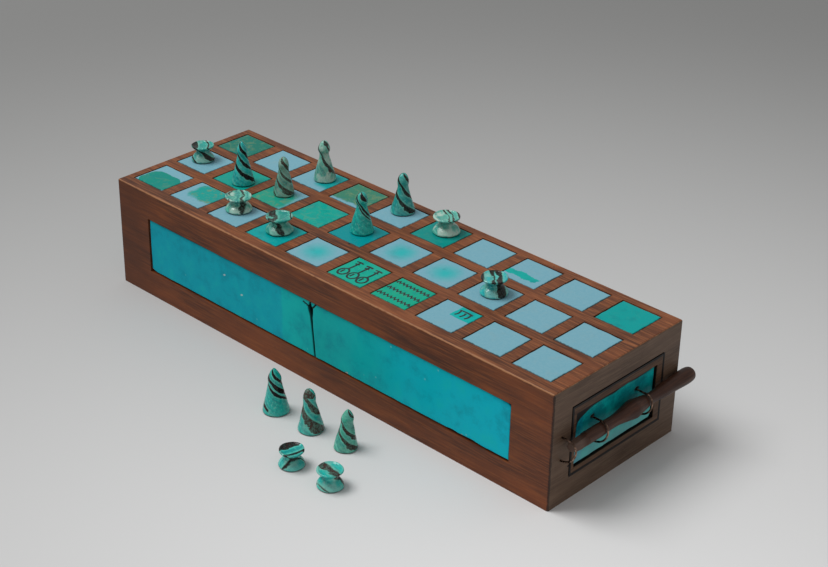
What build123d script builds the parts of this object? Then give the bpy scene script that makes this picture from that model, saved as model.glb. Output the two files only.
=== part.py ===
from build123d import *
import os

# Senet game box: a wooden case whose top is a board of thirty glazed squares, with a drawer at
# one end that is locked by a sliding bolt, and fifteen playing pieces.
#
# Millimetres, +Z up. The origin is the centre of the underside. +X runs along the box to the
# drawer end, -Y is the near long side. The drawer is shut and the bolt is drawn back.

# ---- Case: four walls and the playing board, mitred together at every arris
case_length = 280.0
case_width = 86.0
case_height = 57.0
wall = 9.0
arris_radius = 0.8
mitre = 45.0
base_thickness = 6.5

# ---- Thirty squares let into the playing board, flush with it; they take what the wood leaves
columns = 10
rows = 3
bar_width = 6.4  # of the wood between two squares
border_closed = 4.7  # from the closed end to the first squares
border_drawer = 7.7
border_near = 6.75
border_far = 4.95
tile_thickness = 3.0
tile_gap = 0.3
tile_edge = 0.35

# ---- Inlays of the walls, with the wood left round them
side_inlay_border = 22.5  # at each end
end_inlay_border = 20.0
inlay_low_border = 13.95
inlay_top_border = 14.55
inlay_thickness = 3.0
inlay_setback = 0.5
inlay_gap = 0.3
break_x = -1.7  # where the near inlay is broken across
break_lean = 10.0  # degrees from upright
break_gap = 0.15
far_joint_x = 12.0  # where the far inlay's two slabs meet

# ---- Drawer, with the wood left round it and round its inlay
drawer_inset_near = 12.8  # from the near side of the case to the drawer
drawer_inset_far = 12.3
drawer_inset_top = 11.7
drawer_base_z = 12.1
drawer_length = 170.0
front_thickness = 8.0
front_border_near = 2.9
front_border_far = 4.2
front_border_low = 2.8
front_border_top = 4.3
front_inlay_setback = 0.8
drawer_side_thickness = 6.0
side_lap = 3.0  # how deep the sides lap into the back of the front
side_drop = 3.0  # how far the sides stop below the top of the front
drawer_back_thickness = 5.0
drawer_floor_thickness = 3.5
drawer_floor_raise = 2.0
floor_groove_depth = 2.5
floor_groove_clearance = 0.1
gap_near = 0.6  # the drawer hangs a little low and to the far side of its opening
gap_far = 0.2
gap_above = 0.7
gap_below = 0.1

# ---- Runners and stop for the drawer, pegged to the bottom board
runner_width = 9.0
runner_clearance = 0.1  # under the drawer
guide_clearance = 0.4  # beside the drawer
guide_height = 10.0
stop_thickness = 8.0
stop_height = 16.0
stop_clearance = 0.3
peg_radius = 1.5
peg_clearance = 0.03
peg_grip = 3.5  # how far a peg reaches into what it pins
peg_spacing = 65.0
stop_peg_spacing = 40.0

# ---- Bolt: a turned rod that slides along Y in two staples of the drawer front
bolt_standoff = 4.0  # from the face of the drawer to the rod's axis
bolt_height = 18.2  # of the rod's axis above the bottom of the drawer
bolt_radius = 2.9
bolt_waist_radius = 2.55
bolt_handle_radius = 4.2
bolt_far_radius = 3.2
bolt_end_chamfer = 0.8
bolt_reach = 0.4  # how far the locked tip stands past the near side of the case
bolt_end_inset = 3.8  # how far the locked bolt's other end stops short of the far side
bolt_draw = 8.0  # from locked to drawn

# ---- Wire staples
wire_radius = 0.45
loop_clearance = 0.3
near_staple_inset = 14.6  # from the near side of the drawer
far_staple_inset = 16.3
keeper_inset = 6.4  # from the near side of the case
staple_leg = 6.5
keeper_leg = 5.0
leg_clearance = 0.05

# ---- Playing pieces
foot_round = 0.6
neck_radius = 2.85
head_radius = 3.0
neck_share = 0.66  # of a cone's height
head_share = 0.78
cone_tip_slope = 0.6  # how steeply a cone's bud comes to its point
spool_waist_radius = 3.3
spool_waist_share = 0.55  # of a spool's height
spool_foot_shape = (0.8, 0.36)  # shares of the foot's radius and the height, on the domed foot
spool_top_shape = (0.8, 0.8)  # shares of the top's radius and the height, under the flare
spool_rim = 0.7

# Cones and spools on the floor: x, distance from the near side, foot radius, height, top radius
floor_cones = [
    (4.0, 27.4, 6.35, 22.6),
    (26.2, 26.8, 6.1, 21.1),
    (47.1, 26.0, 5.55, 19.7),
]
floor_spools = [
    (40.3, 51.5, 6.1, 8.4, 5.85),
    (63.0, 50.6, 6.15, 8.8, 5.95),
]
# On the board: column and row of the square, place on it as shares of its length and width from
# its middle, foot radius, height, top radius
board_cones = [
    (1, 1, 0.186, -0.137, 5.9, 22.4),
    (2, 1, -0.014, 0.151, 5.4, 19.8),
    (2, 2, 0.09, 0.078, 5.75, 21.0),
    (4, 1, -0.019, 0.102, 5.9, 20.4),
    (4, 2, -0.062, 0.176, 6.2, 20.3),
]
board_spools = [
    (0, 1, -0.124, 0.02, 6.0, 8.5, 5.5),
    (2, 0, -0.124, 0.146, 6.8, 7.6, 6.1),
    (3, 0, -0.005, 0.088, 6.8, 8.1, 6.4),
    (5, 2, 0.024, 0.132, 6.5, 8.7, 6.8),
    (7, 1, 0.014, 0.083, 6.5, 8.4, 6.4),
]

# ---- Worked out from the sizes above
half_length = case_length / 2
half_width = case_width / 2
inner_half_width = half_width - wall
tile_seat_z = case_height - tile_thickness
square_length = (case_length - border_closed - border_drawer - (columns - 1) * bar_width) / columns
square_width = (case_width - border_near - border_far - (rows - 1) * bar_width) / rows
column_pitch = square_length + bar_width
row_pitch = square_width + bar_width
grid_middle = ((border_closed - border_drawer) / 2, (border_near - border_far) / 2)

side_inlay_length = case_length - 2 * side_inlay_border
end_inlay_length = case_width - 2 * end_inlay_border
inlay_height = case_height - inlay_low_border - inlay_top_border
inlay_centre_z = inlay_low_border + inlay_height / 2
wall_pocket_depth = inlay_thickness + inlay_setback

drawer_near_y = drawer_inset_near - half_width
drawer_far_y = half_width - drawer_inset_far
drawer_width = drawer_far_y - drawer_near_y
drawer_height = case_height - drawer_inset_top - drawer_base_z
drawer_centre_y = (drawer_near_y + drawer_far_y) / 2
drawer_back_x = half_length - drawer_length
front_back_x = half_length - front_thickness
tray_width = drawer_width - 2 * drawer_side_thickness
drawer_side_height = drawer_height - side_drop
drawer_floor_z = drawer_base_z + drawer_floor_raise
runner_top_z = drawer_base_z - runner_clearance
stop_front_x = drawer_back_x - stop_clearance
near_staple_y = drawer_near_y + near_staple_inset
far_staple_y = drawer_far_y - far_staple_inset
keeper_y = keeper_inset - half_width
bolt_x = half_length + bolt_standoff
bolt_z = drawer_base_z + bolt_height
bolt_tip_y = bolt_draw - half_width - bolt_reach
bolt_end_y = bolt_draw + half_width - bolt_end_inset
loop_radius = bolt_radius + loop_clearance + wire_radius
lower_loop_radius = bolt_standoff + loop_radius
staple_top_z = bolt_z + loop_radius
staple_low_z = bolt_z - lower_loop_radius

os.makedirs("parts", exist_ok=True)


def hand_over(piece, name):
    """Label a finished piece and write it under its own name."""
    piece.part.label = name
    export_step(piece.part, f"parts/{name}.step")


def column_x(column):
    return grid_middle[0] + (column - (columns - 1) / 2) * column_pitch


def row_y(row):
    return grid_middle[1] + (row - (rows - 1) / 2) * row_pitch


# ---- The case's outer form, with every outer arris but the bottom ones eased by hand
with BuildPart() as envelope:
    Box(case_length, case_width, case_height, align=(Align.CENTER, Align.CENTER, Align.MIN))
    standing_edges = envelope.edges().filter_by(Axis.Z)
    fillet(standing_edges + envelope.faces().sort_by(Axis.Z)[-1].edges(), arris_radius)


# Each wall's plane lies on its outer face and looks into the box
near_face = Plane(origin=(0, -half_width, 0), x_dir=(1, 0, 0), z_dir=(0, 1, 0))
far_face = Plane(origin=(0, half_width, 0), x_dir=(1, 0, 0), z_dir=(0, -1, 0))
closed_face = Plane(origin=(-half_length, 0, 0), x_dir=(0, 1, 0), z_dir=(1, 0, 0))
drawer_face = Plane(origin=(half_length, 0, 0), x_dir=(0, 1, 0), z_dir=(-1, 0, 0))
board_face = Plane(origin=(0, 0, case_height), x_dir=(1, 0, 0), z_dir=(0, 0, -1))


def wall_blank(face, length):
    """A board mitred at its top and both ends, with its arrises eased, and square below."""
    with BuildPart() as blank:
        with BuildSketch(face):
            Rectangle(length, 2 * case_height)
        extrude(amount=wall, taper=mitre)
        split(bisect_by=Plane.XY, keep=Keep.TOP)
        add(envelope.part, mode=Mode.INTERSECT)
    return blank.part


def at_height(face, z):
    """The same wall plane, with its origin moved up to a height."""
    return Plane(origin=face.origin + Vector(0, 0, z), x_dir=face.x_dir, z_dir=face.z_dir)


# ---- Playing board
with BuildPart() as top_board:
    with BuildSketch(board_face):
        Rectangle(case_length, case_width)
    extrude(amount=wall, taper=mitre)
    add(envelope.part, mode=Mode.INTERSECT)
    with BuildSketch(Plane.XY.offset(case_height)):
        with Locations(grid_middle):
            with GridLocations(column_pitch, row_pitch, columns, rows):
                Rectangle(square_length + 2 * tile_gap, square_width + 2 * tile_gap)
    extrude(amount=-tile_thickness, mode=Mode.SUBTRACT)
hand_over(top_board, "top_board")

# ---- Long side boards, each with a pocket for its inlay
side_inlay_planes = {
    "near": at_height(near_face, inlay_centre_z),
    "far": at_height(far_face, inlay_centre_z),
}
for side, face in (("near", near_face), ("far", far_face)):
    with BuildPart() as side_board:
        add(wall_blank(face, case_length))
        with BuildSketch(side_inlay_planes[side]):
            Rectangle(side_inlay_length + 2 * inlay_gap, inlay_height + 2 * inlay_gap)
        extrude(amount=wall_pocket_depth, mode=Mode.SUBTRACT)
    hand_over(side_board, f"{side}_side_board")

# ---- Closed end board
closed_inlay_plane = at_height(closed_face, inlay_centre_z)
with BuildPart() as closed_end_board:
    add(wall_blank(closed_face, case_width))
    with BuildSketch(closed_inlay_plane):
        Rectangle(end_inlay_length + 2 * inlay_gap, inlay_height + 2 * inlay_gap)
    extrude(amount=wall_pocket_depth, mode=Mode.SUBTRACT)
hand_over(closed_end_board, "closed_end_board")


def leg_holes(y, depth):
    """The two holes in which a staple's legs sit, square to the drawer end."""
    with BuildPart() as holes:
        with BuildSketch(Plane.YZ.offset(half_length)):
            with Locations((y, staple_top_z), (y, staple_low_z)):
                Circle(wire_radius + leg_clearance)
        extrude(amount=-depth)
    return holes.part


# ---- Drawer-end frame: one board with the drawer's opening and the keeper's holes
opening_width = drawer_width + gap_near + gap_far
opening_height = drawer_height + gap_above + gap_below
opening_y = drawer_centre_y + (gap_far - gap_near) / 2
opening_z = drawer_base_z - gap_below + opening_height / 2
with BuildPart() as drawer_end_frame:
    add(wall_blank(drawer_face, case_width))
    with BuildSketch(Plane.YZ.offset(half_length)):
        with Locations((opening_y, opening_z)):
            Rectangle(opening_width, opening_height)
    extrude(amount=-wall, mode=Mode.SUBTRACT)
    add(leg_holes(keeper_y, keeper_leg), mode=Mode.SUBTRACT)
hand_over(drawer_end_frame, "drawer_end_frame")

# ---- Pegs: three in each runner and two in the stop
runner_length = half_length - wall - stop_front_x
runner_middle_x = stop_front_x + runner_length / 2
runner_peg_y = inner_half_width - runner_width / 2
stop_middle_x = stop_front_x - stop_thickness / 2
peg_places = [
    (runner_middle_x + step * peg_spacing, side * runner_peg_y)
    for side in (-1, 1)
    for step in (-1, 0, 1)
]
peg_places += [(stop_middle_x, side * stop_peg_spacing / 2) for side in (-1, 1)]


def peg_set(radius):
    """A round bar at each peg's place, from the underside up into whatever it pins."""
    with BuildPart() as bars:
        with BuildSketch(Plane.XY):
            with Locations(*peg_places):
                Circle(radius)
        extrude(amount=base_thickness + peg_grip)
    return bars


peg_holes = peg_set(peg_radius + peg_clearance)
hand_over(peg_set(peg_radius), "base_pegs")

# ---- Bottom board, let in between the four walls
with BuildPart() as bottom_board:
    with BuildSketch(Plane.XY):
        Rectangle(case_length - 2 * wall, case_width - 2 * wall)
    extrude(amount=base_thickness)
    add(peg_holes.part, mode=Mode.SUBTRACT)
hand_over(bottom_board, "bottom_board")

# ---- Runners: a ledge under the drawer with a fence beside it
guide_y = {"near": drawer_near_y - guide_clearance, "far": drawer_far_y + guide_clearance}
for side, sign in (("near", -1), ("far", 1)):
    outer_y = sign * inner_half_width
    ledge_y = outer_y - sign * runner_width
    with BuildPart() as runner:
        with BuildSketch(Plane.YZ.offset(stop_front_x)):
            with BuildLine():
                Polyline(
                    (outer_y, base_thickness),
                    (ledge_y, base_thickness),
                    (ledge_y, runner_top_z),
                    (guide_y[side], runner_top_z),
                    (guide_y[side], runner_top_z + guide_height),
                    (outer_y, runner_top_z + guide_height),
                    close=True,
                )
            make_face()
        extrude(amount=runner_length)
        add(peg_holes.part, mode=Mode.SUBTRACT)
    hand_over(runner, f"{side}_drawer_runner")

# ---- Stop behind the drawer
with BuildPart() as drawer_stop:
    with BuildSketch(Plane.XY.offset(base_thickness)):
        with Locations((stop_middle_x, 0)):
            Rectangle(stop_thickness, 2 * inner_half_width)
    extrude(amount=stop_height)
    add(peg_holes.part, mode=Mode.SUBTRACT)
hand_over(drawer_stop, "drawer_stop")


def tile_group(squares):
    """Glazed tiles in their pockets, each with its face edges rounded."""
    with BuildPart() as tiles:
        with BuildSketch(Plane.XY.offset(tile_seat_z)):
            with Locations(*[(column_x(column), row_y(row)) for column, row in squares]):
                Rectangle(square_length, square_width)
        extrude(amount=tile_thickness)
        fillet(tiles.edges().group_by(Axis.Z)[-1], tile_edge)
    return tiles


# ---- Tiles: plain ones by rows, and the five houses near the drawer, each on its own
house_names = ["beauty", "water", "three", "two", "one"]
first_house = columns - len(house_names)
hand_over(tile_group([(column, 0) for column in range(first_house)]), "near_row_tiles")
hand_over(tile_group([(column, 1) for column in range(columns)]), "middle_row_tiles")
hand_over(tile_group([(column, 2) for column in range(columns)]), "far_row_tiles")
for place, house in enumerate(house_names):
    hand_over(tile_group([(first_house + place, 0)]), f"house_of_{house}_tile")


def inlay_slab(plane, length, cut=None, keep=Keep.TOP):
    """A glazed slab set back in its wall, cut along a broken or butted end if one is given."""
    with BuildPart() as slab:
        with BuildSketch(plane.offset(inlay_setback)):
            Rectangle(length, inlay_height)
        extrude(amount=inlay_thickness)
        if cut is not None:
            split(bisect_by=cut, keep=keep)
    return slab


# ---- Wall inlays: the near one is broken across, the far one is two slabs butted
break_plane = Plane(origin=(break_x, 0, inlay_centre_z), z_dir=(1, 0, 0)).rotated((0, break_lean, 0))
joint_plane = Plane(origin=(far_joint_x, 0, inlay_centre_z), z_dir=(1, 0, 0))
for side, cut in (("near", break_plane), ("far", joint_plane)):
    for end, offset, keep in (("closed", -break_gap / 2, Keep.BOTTOM), ("drawer", break_gap / 2, Keep.TOP)):
        slab = inlay_slab(side_inlay_planes[side], side_inlay_length, cut.offset(offset), keep)
        hand_over(slab, f"{side}_inlay_{end}_half")
hand_over(inlay_slab(closed_inlay_plane, end_inlay_length), "closed_end_inlay")

# ---- Drawer front, with a pocket for its inlay and laps for the sides
front_middle_z = drawer_base_z + drawer_height / 2
front_inlay_length = drawer_width - front_border_near - front_border_far
front_inlay_height = drawer_height - front_border_low - front_border_top
front_inlay_place = (
    drawer_near_y + front_border_near + front_inlay_length / 2,
    drawer_base_z + front_border_low + front_inlay_height / 2,
)
side_middle_y = [drawer_near_y + drawer_side_thickness / 2, drawer_far_y - drawer_side_thickness / 2]
with BuildPart() as drawer_front:
    with BuildSketch(Plane.YZ.offset(front_back_x)):
        with Locations((drawer_centre_y, front_middle_z)):
            Rectangle(drawer_width, drawer_height)
    extrude(amount=front_thickness)
    with BuildSketch(Plane.YZ.offset(half_length)):
        with Locations(front_inlay_place):
            Rectangle(front_inlay_length + 2 * inlay_gap, front_inlay_height + 2 * inlay_gap)
    extrude(amount=-(inlay_thickness + front_inlay_setback), mode=Mode.SUBTRACT)
    with BuildSketch(Plane.YZ.offset(front_back_x)):
        with Locations(*[(y, drawer_base_z + drawer_side_height / 2) for y in side_middle_y]):
            Rectangle(drawer_side_thickness, drawer_side_height)
    extrude(amount=side_lap, mode=Mode.SUBTRACT)
    add(leg_holes(near_staple_y, staple_leg), mode=Mode.SUBTRACT)
    add(leg_holes(far_staple_y, staple_leg), mode=Mode.SUBTRACT)
hand_over(drawer_front, "drawer_front")

with BuildPart() as drawer_front_inlay:
    with BuildSketch(Plane.YZ.offset(half_length - front_inlay_setback)):
        with Locations(front_inlay_place):
            Rectangle(front_inlay_length, front_inlay_height)
    extrude(amount=-inlay_thickness)
    add(leg_holes(near_staple_y, staple_leg), mode=Mode.SUBTRACT)
    add(leg_holes(far_staple_y, staple_leg), mode=Mode.SUBTRACT)
hand_over(drawer_front_inlay, "drawer_front_inlay")

# ---- Drawer sides, grooved for the floor
for side, middle_y, sign in (("near", side_middle_y[0], -1), ("far", side_middle_y[1], 1)):
    inner_y = middle_y - sign * drawer_side_thickness / 2
    with BuildPart() as drawer_side:
        with BuildSketch(Plane.YZ.offset(drawer_back_x)):
            with Locations((middle_y, drawer_base_z + drawer_side_height / 2)):
                Rectangle(drawer_side_thickness, drawer_side_height)
            with Locations((inner_y, drawer_floor_z + drawer_floor_thickness / 2)):
                Rectangle(2 * floor_groove_depth, drawer_floor_thickness, mode=Mode.SUBTRACT)
        extrude(amount=front_back_x + side_lap - drawer_back_x)
    hand_over(drawer_side, f"drawer_{side}_side")

# ---- Drawer floor, in the sides' grooves and under the back
with BuildPart() as drawer_floor:
    with BuildSketch(Plane.XY.offset(drawer_floor_z)):
        with Locations(((front_back_x + drawer_back_x) / 2, drawer_centre_y)):
            Rectangle(
                front_back_x - drawer_back_x,
                tray_width + 2 * (floor_groove_depth - floor_groove_clearance),
            )
    extrude(amount=drawer_floor_thickness)
hand_over(drawer_floor, "drawer_floor")

# ---- Drawer back, between the sides and on the floor
drawer_back_z = drawer_floor_z + drawer_floor_thickness
drawer_back_height = drawer_base_z + drawer_side_height - drawer_back_z
with BuildPart() as drawer_back:
    with BuildSketch(Plane.YZ.offset(drawer_back_x)):
        with Locations((drawer_centre_y, drawer_back_z + drawer_back_height / 2)):
            Rectangle(tray_width, drawer_back_height)
    extrude(amount=drawer_back_thickness)
hand_over(drawer_back, "drawer_back")


def staple(y, leg):
    """Bent wire: a straight upper leg, a bend close over the bolt, and a wider bend back below."""
    bend_plane = Plane(origin=(0, y, 0), x_dir=(1, 0, 0), z_dir=(0, -1, 0))
    tip_x = half_length - leg
    with BuildPart() as wire:
        with BuildLine(bend_plane):
            Line((tip_x, staple_top_z), (bolt_x, staple_top_z))
            CenterArc((bolt_x, bolt_z), loop_radius, 90, -90)
            CenterArc((half_length, bolt_z), lower_loop_radius, 0, -90)
            Line((half_length, staple_low_z), (tip_x, staple_low_z))
        with BuildSketch(Plane(origin=(tip_x, y, staple_top_z), z_dir=(1, 0, 0))):
            Circle(wire_radius)
        sweep()
    return wire


hand_over(staple(near_staple_y, staple_leg), "near_bolt_staple")
hand_over(staple(far_staple_y, staple_leg), "far_bolt_staple")
hand_over(staple(keeper_y, keeper_leg), "keeper_staple")

# ---- Bolt: turned about its own axis, with a handle that swells between the two staples
near_waist_y = near_staple_y + bolt_draw
far_waist_y = far_staple_y + bolt_draw / 2
handle_y = (near_waist_y + far_waist_y) / 2
handle_half_length = (far_waist_y - near_waist_y - bolt_draw) / 2
shoulder_radius = (bolt_radius + bolt_handle_radius) / 2
bolt_plane = Plane(origin=(bolt_x, 0, bolt_z), x_dir=(0, 1, 0), z_dir=(1, 0, 0))
with BuildPart() as bolt:
    with BuildSketch(bolt_plane):
        with BuildLine():
            Polyline(
                (near_waist_y - handle_half_length, bolt_radius),
                (bolt_tip_y + bolt_end_chamfer, bolt_radius),
                (bolt_tip_y, bolt_radius - bolt_end_chamfer),
                (bolt_tip_y, 0),
                (bolt_end_y, 0),
                (bolt_end_y, bolt_far_radius - bolt_end_chamfer),
                (bolt_end_y - bolt_end_chamfer, bolt_far_radius),
                (far_waist_y + handle_half_length, bolt_far_radius),
            )
            Spline(
                (near_waist_y - handle_half_length, bolt_radius),
                (near_waist_y, bolt_waist_radius),
                (handle_y - handle_half_length / 2, shoulder_radius),
                (handle_y, bolt_handle_radius),
                (handle_y + handle_half_length / 2, shoulder_radius),
                (far_waist_y, bolt_waist_radius),
                (far_waist_y + handle_half_length, bolt_far_radius),
                tangents=((1, 0), (1, 0)),
            )
        make_face()
    revolve(axis=Axis((bolt_x, 0, bolt_z), (0, 1, 0)))
hand_over(bolt, "bolt")


def upright_plane(x, y, z):
    """A sketch plane through a piece's own axis: first along X, then up."""
    return Plane(origin=(x, y, z), x_dir=(1, 0, 0), z_dir=(0, -1, 0))


def cone_piece(x, y, z, foot_radius, height):
    """A tall piece: a straight taper from its foot to a neck, under a pointed bud."""
    neck_z = neck_share * height
    with BuildPart() as cone:
        with BuildSketch(upright_plane(x, y, z)):
            with BuildLine():
                Polyline((0, height), (0, 0), (foot_radius - foot_round, 0))
                RadiusArc((foot_radius - foot_round, 0), (foot_radius, foot_round), -foot_round)
                Line((foot_radius, foot_round), (neck_radius, neck_z))
                Spline(
                    (neck_radius, neck_z),
                    (head_radius, head_share * height),
                    (0, height),
                    tangents=((neck_radius - foot_radius, neck_z), (-1, cone_tip_slope)),
                )
            make_face()
        revolve(axis=Axis((x, y, z), (0, 0, 1)))
    return cone


def spool_piece(x, y, z, foot_radius, height, top_radius):
    """A low piece: a domed foot, a waist, and a flared top that is slightly dished."""
    with BuildPart() as spool:
        with BuildSketch(upright_plane(x, y, z)):
            with BuildLine():
                Polyline((0, height - spool_rim), (0, 0), (foot_radius - foot_round, 0))
                RadiusArc((foot_radius - foot_round, 0), (foot_radius, foot_round), -foot_round)
                Spline(
                    (foot_radius, foot_round),
                    (spool_foot_shape[0] * foot_radius, spool_foot_shape[1] * height),
                    (spool_waist_radius, spool_waist_share * height),
                    (spool_top_shape[0] * top_radius, spool_top_shape[1] * height),
                    (top_radius, height - spool_rim),
                )
                Line((top_radius, height - spool_rim), (top_radius - spool_rim / 2, height))
                Line((top_radius - spool_rim / 2, height), (0, height - spool_rim))
            make_face()
        revolve(axis=Axis((x, y, z), (0, 0, 1)))
    return spool


def on_square(column, row, along, across):
    """A place on a square, given as shares of its length and width from its middle."""
    return column_x(column) + along * square_length, row_y(row) + across * square_width


# ---- Playing pieces, first those on the floor, then those on the board
cones = [(x, -half_width - away, 0, radius, height) for x, away, radius, height in floor_cones]
cones += [
    (*on_square(column, row, along, across), case_height, radius, height)
    for column, row, along, across, radius, height in board_cones
]
for number, place in enumerate(cones, start=1):
    hand_over(cone_piece(*place), f"cone_{number}")

spools = [
    (x, -half_width - away, 0, radius, height, top)
    for x, away, radius, height, top in floor_spools
]
spools += [
    (*on_square(column, row, along, across), case_height, radius, height, top)
    for column, row, along, across, radius, height, top in board_spools
]
for number, place in enumerate(spools, start=1):
    hand_over(spool_piece(*place), f"spool_{number}")
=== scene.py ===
import math
from functools import partial
from itertools import product

import bpy
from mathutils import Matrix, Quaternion, Vector, noise


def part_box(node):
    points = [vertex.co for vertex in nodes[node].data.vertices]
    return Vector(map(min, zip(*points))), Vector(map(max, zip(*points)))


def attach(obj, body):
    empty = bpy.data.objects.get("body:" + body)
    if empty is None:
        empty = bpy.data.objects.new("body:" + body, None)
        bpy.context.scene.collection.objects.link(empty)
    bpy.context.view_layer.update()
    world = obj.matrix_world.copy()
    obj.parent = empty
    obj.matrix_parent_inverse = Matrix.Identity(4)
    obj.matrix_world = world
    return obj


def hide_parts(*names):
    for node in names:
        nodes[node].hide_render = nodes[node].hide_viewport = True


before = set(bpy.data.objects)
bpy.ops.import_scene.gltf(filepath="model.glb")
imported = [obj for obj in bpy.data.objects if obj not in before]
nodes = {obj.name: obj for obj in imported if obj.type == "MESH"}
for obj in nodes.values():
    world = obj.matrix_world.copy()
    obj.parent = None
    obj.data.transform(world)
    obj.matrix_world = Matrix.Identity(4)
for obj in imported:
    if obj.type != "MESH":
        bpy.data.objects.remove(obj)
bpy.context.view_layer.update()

# ---- The viewpoint. A long lens stands a short metre off the drawer-end corner and looks down on
# the box, so that the board, the near side and the drawer end all show.
lens_mm = 77.49
sensor_mm = 36.0
camera_place = Vector((0.51033, -0.51922, 0.43845))
camera_aim = Vector((0.00060, 0.02199, 0.02800))
camera_roll = math.radians(1.0215)

viewpoint = bpy.data.objects.new("viewpoint", bpy.data.cameras.new("viewpoint"))
viewpoint.data.lens = lens_mm
viewpoint.data.sensor_width = sensor_mm
viewpoint.location = camera_place
level_look = (camera_aim - camera_place).to_track_quat("-Z", "Y")
viewpoint.rotation_euler = (level_look @ Quaternion((0, 0, 1), camera_roll)).to_euler()
bpy.context.scene.collection.objects.link(viewpoint)
bpy.context.scene.camera = viewpoint

# ---- Case. Five boards of a close-grained reddish hardwood, mitred together at the arrises and
# rubbed with oil. The long top arrises are worn pale and painted with the highlight they catch, and
# painted shade darkens the upright corners, the closed end and the joint round the drawer front.
mm = 0.001
half_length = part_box("drawer_end_frame")[1].x
case_corner = Vector((half_length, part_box("far_side_board")[1].y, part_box("top_board")[1].z))


def linear(hex_colour):
    """A hex colour, as it looks on a screen, as the linear colour that a shader mixes."""
    shares = [int(hex_colour[i : i + 2], 16) / 255 for i in (0, 2, 4)]
    return (*[s / 12.92 if s <= 0.04045 else ((s + 0.055) / 1.055) ** 2.4 for s in shares], 1.0)


def fill(node, inputs):
    """Fill a node's inputs, by name or in order, each from a socket or with a plain value."""
    for key, value in inputs.items() if isinstance(inputs, dict) else enumerate(inputs):
        if isinstance(value, bpy.types.NodeSocket):
            node.id_data.links.new(value, node.inputs[key])
        else:
            node.inputs[key].default_value = value


def add_node(tree, kind, *inputs, give=0, **settings):
    """Add a node, fill its inputs, in order or from a dict by name, and give one output. Its kind is
    a geometry node's if there is one, and its operation may follow, as in "Math ADD". In order, a
    noise takes its place, seed, scale, detail and roughness, and many a geometry node True for all."""
    kind, _, operation = kind.partition(" ")
    own = f"GeometryNode{kind}"
    node = tree.nodes.new(own if hasattr(bpy.types, own) else f"ShaderNode{kind}")
    if operation:
        setattr(node, "interpolation_type" if kind == "MapRange" else "operation", operation)
    for setting, value in settings.items():
        setattr(node, setting, value)
    fill(node, inputs[0] if inputs and isinstance(inputs[0], dict) else inputs)
    return node.outputs[give]


def lay(add, colour, *layers):
    """Lay colours over one. Each covers a share of it, or goes by a value: where on it the layer
    starts, where it is full, and how much it then covers."""
    for over, share, *span in layers:
        if span:
            start, full, most = span
            share = add("MapRange", share, start, full, 0.0, most)
        over = linear(over) if isinstance(over, str) else over
        colour = add("Mix", {0: share, 6: colour, 7: over}, give=2, data_type="RGBA")
    return colour


def new_material(name, roughness, specular=0.5):
    """A material, the means to add to its tree, and its shader with the gloss of its finish."""
    material = bpy.data.materials.new(name)
    material.use_nodes = True
    shader = material.node_tree.nodes["Principled BSDF"]
    fill(shader, {"Roughness": roughness, "Specular IOR Level": specular})
    return material, partial(add_node, material.node_tree), shader


# Hardwood, sawn and planed by hand and rubbed with oil by people who then handled it for years. To the
# eye: fine fibres along the grain, short dark pores, slow changes of tone along the board, and an arris
# worn to paler wood and painted paler still with its highlight, with a soft sheen. Fibres and pores are
# drawn coarser than real, to show from here.
ALONG_X, ALONG_Y, ALONG_Z = range(3)


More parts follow.
